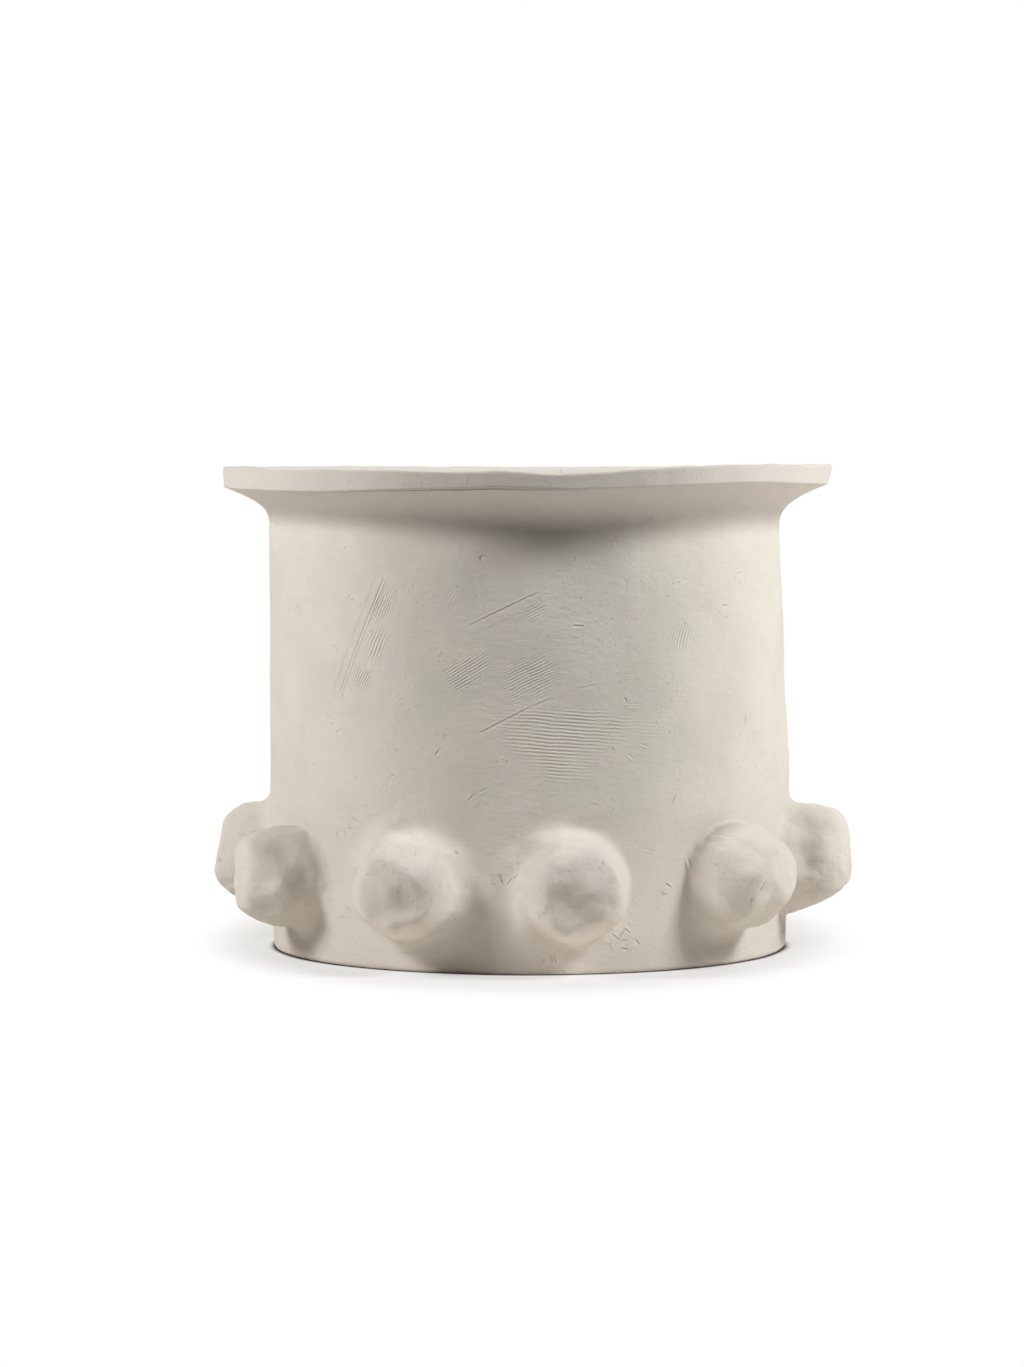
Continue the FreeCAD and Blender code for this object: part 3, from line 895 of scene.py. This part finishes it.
# Patches of combing: middle, slope in degrees, length along the lines, width across them, strength, layer
COMBED_FRONT = (
    (4, 218, 25, 16, 10, 0.8, 1),
    (-37, 181, 31, 34, 20, 1.2, 1),
    (2, 178, 25, 38, 27, 0.9, 1),
    (30, 149, -4, 96, 22, 0.9, 0),
    (16, 139, -4, 62, 24, 0.9, 0),
    (21, 127, -4, 42, 24, 0.8, 0),
    (41, 192, 22, 17, 11, 0.5, 0),
    (37, 177, 14, 15, 8, 0.5, 0),
    (63, 178, 4, 17, 6, 0.5, 1),
    (64, 161, -2, 12, 6, 0.6, 1),
    (-48, 225, 56, 15, 9, 0.5, 0),
    (-92, 221, 63, 24, 14, 1.3, 1),
    (-97, 197, 63, 22, 14, 1.3, 0),
    (-107, 178, 63, 26, 16, 1.4, 1),
    (99, 201, 72, 17, 18, 1.0, 0),
)
# Scored lines: start, end, strength
SCORED_FRONT = (
    (-35, 209, 7, 229, 0.7),
    (-30, 144, 3, 161, 0.8),
    (3, 161, 16, 166, 0.6),
    (-91, 237, -127, 164, 1.3),
    (-60, 201, -48, 194, 0.4),
    (155, 144, 155.5, 154, 2.2),
    (29, 171, 44, 174, 0.4),
)
# Short scratches among the knobs: start, end, strength
NICKED_FRONT = (
    (51, 24, 56, 20, 1.8),
    (59, 27, 63, 24, 1.9),
    (57, 15, 62, 14, 1.8),
    (66, 20, 69, 17, 1.6),
    (-18, 61, -13, 57, 2.0),
    (-8, 58, -5, 61, 1.5),
    (14, 13, 16, 7, 1.9),
    (86, 53, 91, 50, 2.0),
    (103, 60, 102, 68, 1.6),
    (-116, 92, -111, 88, 2.0),
    (-122, 37, -118, 33, 1.6),
)
COMB_FADE = 0.5
SCORE_NEAR = 6.0
SCORE_END = 5
SCORE_START = -1
# Marks of the same kind away from the front: where they start, their number and the range of each measure
BACK_START = 190
BACK_STRAY_SHARES = (0.1, 0.9)
PATCH_COUNT = 22
PATCH_HEIGHTS = (120, 240)
PATCH_SLOPES = (-6, 24, 30, 62)
PATCH_TURN = (-6, 6)
PATCH_LENGTHS = (15, 55)
PATCH_WIDTHS = (9, 24)
PATCH_STRENGTHS = (0.5, 1)
SCORE_COUNT = 9
SCORE_HEIGHTS = (130, 235)
SCORE_SLOPES = (22, 64, 115)
SCORE_TURN = (-8, 8)
SCORE_LENGTHS = (15, 60)
SCORE_STRENGTHS = (0.4, 0.8)
NICK_COUNT = 170
NICK_STRAY = (-6, 6)
NICK_HEIGHTS = (8, 255)
NICK_LOW_POWER = 1.7
NICK_LENGTHS = (2.5, 8)
NICK_STRENGTHS = (0.3, 1.5)


def line_from(arc, height, turn, length, strength):
    """A scored line that starts at a place on the wall and runs along a turn in radians."""
    return arc, height, arc + length * math.cos(turn), height + length * math.sin(turn), strength


def marks_round_the_back():
    """Patches and scores strewn over the wall away from the front."""
    random = np.random.default_rng(91)

    def next_arc(index, count):
        return BACK_START + (GIRTH - 2 * BACK_START) * (index + random.uniform(*BACK_STRAY_SHARES)) / count

    patches = []
    scores = []
    for index in range(PATCH_COUNT):
        arc = next_arc(index, PATCH_COUNT)
        height = random.uniform(*PATCH_HEIGHTS)
        slope = random.choice(PATCH_SLOPES) + random.uniform(*PATCH_TURN)
        length = random.uniform(*PATCH_LENGTHS)
        width = random.uniform(*PATCH_WIDTHS)
        patches.append((arc, height, slope, length, width, random.uniform(*PATCH_STRENGTHS), index % 2))
    for index in range(SCORE_COUNT):
        arc = next_arc(index, SCORE_COUNT)
        height = random.uniform(*SCORE_HEIGHTS)
        turn = math.radians(random.choice(SCORE_SLOPES) + random.uniform(*SCORE_TURN))
        length = random.uniform(*SCORE_LENGTHS)
        scores.append(line_from(arc, height, turn, length, random.uniform(*SCORE_STRENGTHS)))
    return patches, scores


def strewn_nicks():
    """Short scratches all round the pot, most of them low down among the knobs."""
    random = np.random.default_rng(92)
    low, high = NICK_HEIGHTS
    nicks = []
    for index in range(NICK_COUNT):
        arc = GIRTH * index / NICK_COUNT + random.uniform(*NICK_STRAY)
        height = low + (high - low) * random.uniform(0, 1) ** NICK_LOW_POWER
        turn = random.uniform(0, math.tau)
        length = random.uniform(*NICK_LENGTHS)
        nicks.append(line_from(arc, height, turn, length, random.uniform(*NICK_STRENGTHS)))
    return nicks


def arc_gap(arc, start):
    """Distance along the wall from a starting arc, the short way round."""
    return (arc - start + GIRTH / 2) % GIRTH - GIRTH / 2


def comb_marks(arc, height, patches, layer):
    """At each vertex the distance across the strongest patch's lines, and how strongly it is combed."""
    across = np.zeros_like(arc)
    mask = np.zeros_like(arc)
    for middle, level, slope, length, width, strength, on_layer in patches:
        if on_layer != layer:
            continue
        turn = math.radians(slope)
        side, up = arc_gap(arc, middle), height - level
        along = (side * math.cos(turn) + up * math.sin(turn)) / (length / 2)
        over = (up * math.cos(turn) - side * math.sin(turn)) / (width / 2)
        here = strength * eased(1 - np.hypot(along, over), -COMB_FADE / 2, COMB_FADE)
        across = np.where(here > mask, height * math.cos(turn) - arc * math.sin(turn), across)
        mask = np.maximum(mask, here)
    return across, mask


def score_marks(arc, height, scores):
    """At each vertex the distance from the nearest scored line, and how strongly it is scored."""
    across = np.full_like(arc, SCORE_NEAR)
    mask = np.zeros_like(arc)
    for start, low, end, high, strength in scores:
        length = math.hypot(end - start, high - low)
        along_arc, along_up = (end - start) / length, (high - low) / length
        side, up = arc_gap(arc, start), height - low
        along = side * along_arc + up * along_up
        over = up * along_arc - side * along_up
        run_out = min(SCORE_END, length / 2)
        here = eased(np.minimum(along, length - along), SCORE_START, run_out) * (np.abs(over) < SCORE_NEAR)
        across = np.where(here > mask, over, across)
        mask = np.maximum(mask, here * strength)
    return across, mask


def store_marks(piece, marks):
    """Stores numbers on a piece's vertices for its shader."""
    for name, values in marks.items():
        piece.data.attributes.new(name, "FLOAT", "POINT").data.foreach_set("value", values)


def unrolled(points):
    """Arc along the wall from the front, and height, of each point."""
    return np.arctan2(points[:, 0], -points[:, 1]) * FOOT_RADIUS, points[:, 2]


def mark_wall(piece, points):
    """Stores the tool marks on the wall's vertices, of which the outside's come first."""
    arc, height = unrolled(points)
    seen = np.arange(len(points)) < len(skin["outside"][0]) * COLUMNS
    marks = {}
    for layer in (0, 1):
        marks[f"comb_across_{layer}"], mask = comb_marks(arc, height, patches, layer)
        marks[f"comb_mask_{layer}"] = mask * seen
    marks["score_across"], mask = score_marks(arc, height, scores + nicks)
    marks["score_mask"] = mask * seen
    store_marks(piece, marks)


def mark_nicks(piece, points, dent_shade_depth):
    """Stores scratches, and the dent depths by which shade is painted into the dents, on the vertices of a
    knob or collar, seen rows first.
    """
    arc, height = unrolled(points)
    across, mask = score_marks(arc, height, nicks)
    depth = np.zeros(len(points))
    depth[:dent_shade_depth.size] = dent_shade_depth.ravel()
    store_marks(piece, {"score_across": across, "score_mask": mask, "dent_shade_depth": depth})


patches, scores = marks_round_the_back()
patches += COMBED_FRONT
scores += SCORED_FRONT
nicks = strewn_nicks() + [*NICKED_FRONT]
skin = skin_grids()
# How far a hidden row lies inside the clay
HIDDEN_INSET = 1.0


def make_pot():
    """Every piece of the pot."""
    inner_low = inner_radius(azimuths, BASE_TOP)
    slab_corner = hidden_row(inner_low, BASE_TOP)
    slab_edge = hidden_row(inner_low - COIL_LEG, BASE_TOP)
    under_rim = hidden_row(wall_radius(azimuths, RIM_SEAT) - HIDDEN_INSET, RIM_SEAT)
    in_rim = hidden_row(inner_radius(azimuths, RIM_SEAT) + HIDDEN_INSET, RIM_SEAT)
    turned_piece("base_slab", skin["underside"], skin["foot"], slab_edge, skin["floor"])
    mark_wall(*turned_piece("wall", skin["outside"], under_rim, skin["inside"], slab_corner))
    turned_piece("base_seam_coil", skin["coil"], slab_corner)
    turned_piece("rim_support_coil", skin["cove"], under_rim)
    turned_piece("rim_flange", skin["lip"], skin["rim_top"], in_rim)
    for number in range(1, len(KNOB_SIZES) + 1):
        make_knob(number)


make_pot()

# Camera, floor and light, in metres

EYE = Vector((0.0, -2.931, 0.339))
AIM = Vector((-0.00975, 0.0, 0.1651))
FOCAL_PIXELS = 4660
IMAGE_HEIGHT = 1367
SENSOR = 36
WHITE = (1, 1, 1, 1)
ROOM_COLOUR = (1, 0.91, 0.80, 1)
ROOM_STRENGTH = 0.012
# The floor as the camera sees it: what takes the shadow, what glows, and the shade painted in the crack
# under the foot
FLOOR_HALF = 4.0
FLOOR_SHADED = (0.31, 0.31, 0.31, 1)
FLOOR_GLOW = (0.525, 0.515, 0.50, 1)
FLOOR_CONTACT_SHADE = (0.035, 0.026, 0.019, 1)
CONTACT_SHADE_REACH = 0.009
CONTACT_SHADE_FADE = (0.40, 0.75)
CONTACT_SHADE_SAMPLES = 16
# Where the shadow runs out to white: shift and squash of the floor, then where the fade starts and ends
SHADOW_SHAPE = ((0, -0.13, 0), (4.7, 3.2, 1))
SHADOW_FADE = (0.78, 1.02)
# The floor as it throws light back on the pot: bright near it, dim beyond
FLOOR_BRIGHT = (0.86, 0.825, 0.77, 1)
FLOOR_DIM = (0.05, 0.05, 0.05, 1)
BOUNCE_SHAPE = ((0, 0, 0), (1, 1, 1))
BOUNCE_FADE = (0.35, 0.42)
# Lamps: azimuth and elevation in degrees, distance, size, watts and colour
LAMP_AIM = Vector((0, 0, 0.15))
LAMPS = dict(
    right=(68, 38, 2.0, 0.5, 34.1, (0.965, 0.99, 1)),
    left=(-64, 33, 2.0, 0.5, 28.1, (0.985, 0.99, 0.985)),
    back=(180, 38, 2.0, 0.8, 14, (1, 1, 1)),
)
# Cards on the floor beside the pot: side and watts
CARDS = dict(left_card=(-1, 2.1), right_card=(1, 2.7))
CARD_SIZE = (0.4, 0.8)
CARD_AWAY = 0.6
CARD_FORWARD = -0.1
CARD_LIFT = 0.005
CARD_COLOUR = (1, 0.985, 0.96)


def make_camera():
    """The photograph's view: a long lens a little above the rim."""
    lens = bpy.data.cameras.new("camera")
    lens.sensor_fit = "VERTICAL"
    lens.sensor_height = SENSOR
    lens.lens = FOCAL_PIXELS / IMAGE_HEIGHT * SENSOR
    camera = add_object("camera", lens)
    camera.location = EYE
    camera.rotation_euler = (AIM - EYE).to_track_quat("-Z", "Y").to_euler()
    bpy.context.scene.camera = camera


def area_light(name, size, watts, colour):
    """A soft flat lamp of a width and length."""
    light = bpy.data.lights.new(name, "AREA")
    light.shape = "RECTANGLE"
    light.size, light.size_y = size
    light.energy = watts
    light.color = colour
    return add_object(name, light)


def make_lamp(name, azimuth, elevation, distance, size, watts, colour):
    """A square lamp that faces the pot."""
    lamp = area_light(name, (size, size), watts, colour)
    azimuth, elevation = math.radians(azimuth), math.radians(elevation)
    level = math.cos(elevation)
    towards = Vector((level * math.sin(azimuth), -level * math.cos(azimuth), math.sin(elevation)))
    lamp.location = LAMP_AIM + distance * towards
    lamp.rotation_euler = towards.to_track_quat("Z", "Y").to_euler()


def make_card(name, side, watts):
    """A pale card that throws light up under the rim."""
    card = area_light(name, CARD_SIZE, watts, CARD_COLOUR)
    card.location = (side * CARD_AWAY, CARD_FORWARD, CARD_LIFT)
    card.rotation_euler = (math.pi, 0, 0)
    card.visible_camera = False


def make_world():
    """A dim even room that shows as white behind the pot."""
    world = bpy.data.worlds.new("studio")
    bpy.context.scene.world = world
    shader = Shader(world, "World Output")
    room = shader.tree.nodes["Background"]
    room.inputs["Color"].default_value = ROOM_COLOUR
    room.inputs["Strength"].default_value = ROOM_STRENGTH
    white = shader.node("Background", WHITE)
    shader.show(shader.node("MixShader", shader.shown_share(), room.outputs[0], white))


def far_share(shader, shape, fade):
    """0 near the pot and 1 away from it, by distance after a shift and squash of the floor."""
    shift, squash = shape
    place = shader.node("TexCoord", output="Object")
    moved = shader.node("Mapping", place, Location=shift, Scale=squash)
    return shader.ranged(shader.node("VectorMath", moved, operation="LENGTH", output="Value"), *fade)


def floor_material():
    """White far off, shaded by the pot near it, and with shade painted dark in the crack under its foot."""
    material = bpy.data.materials.new("floor")
    shader = Shader(material)
    lit = shader.node("BsdfDiffuse", FLOOR_SHADED)
    shown = shader.node("AddShader", lit, shader.node("Emission", FLOOR_GLOW))
    # Painted contact shade: a dark glow where the floor is closed in under the foot
    open_above = shader.node("AmbientOcclusion", Distance=CONTACT_SHADE_REACH, samples=CONTACT_SHADE_SAMPLES, output="AO")
    open_share = shader.ranged(open_above, *CONTACT_SHADE_FADE)
    shown = shader.node("MixShader", open_share, shader.node("Emission", FLOOR_CONTACT_SHADE), shown)
    far = far_share(shader, SHADOW_SHAPE, SHADOW_FADE)
    shown = shader.node("MixShader", far, shown, shader.node("Emission", WHITE))
    bright, dim = shader.node("BsdfDiffuse", FLOOR_BRIGHT), shader.node("BsdfDiffuse", FLOOR_DIM)
    bounce = shader.node("MixShader", far_share(shader, BOUNCE_SHAPE, BOUNCE_FADE), bright, dim)
    shader.show(shader.node("MixShader", shader.shown_share(), bounce, shown))
    return material


def make_floor():
    """A pale floor that runs out to white and keeps the pot's shadow."""
    mesh = bpy.data.meshes.new("floor")
    half = FLOOR_HALF
    corners = [(-half, -half, 0), (half, -half, 0), (half, half, 0), (-half, half, 0)]
    mesh.from_pydata(corners, [], [(0, 1, 2, 3)])
    mesh.materials.append(floor_material())
    floor = add_object("floor", mesh)


make_camera()
make_world()
make_floor()
for name, values in LAMPS.items():
    make_lamp(name, *values)
for name, values in CARDS.items():
    make_card(name, *values)
bpy.context.scene.view_settings.view_transform = "Standard"
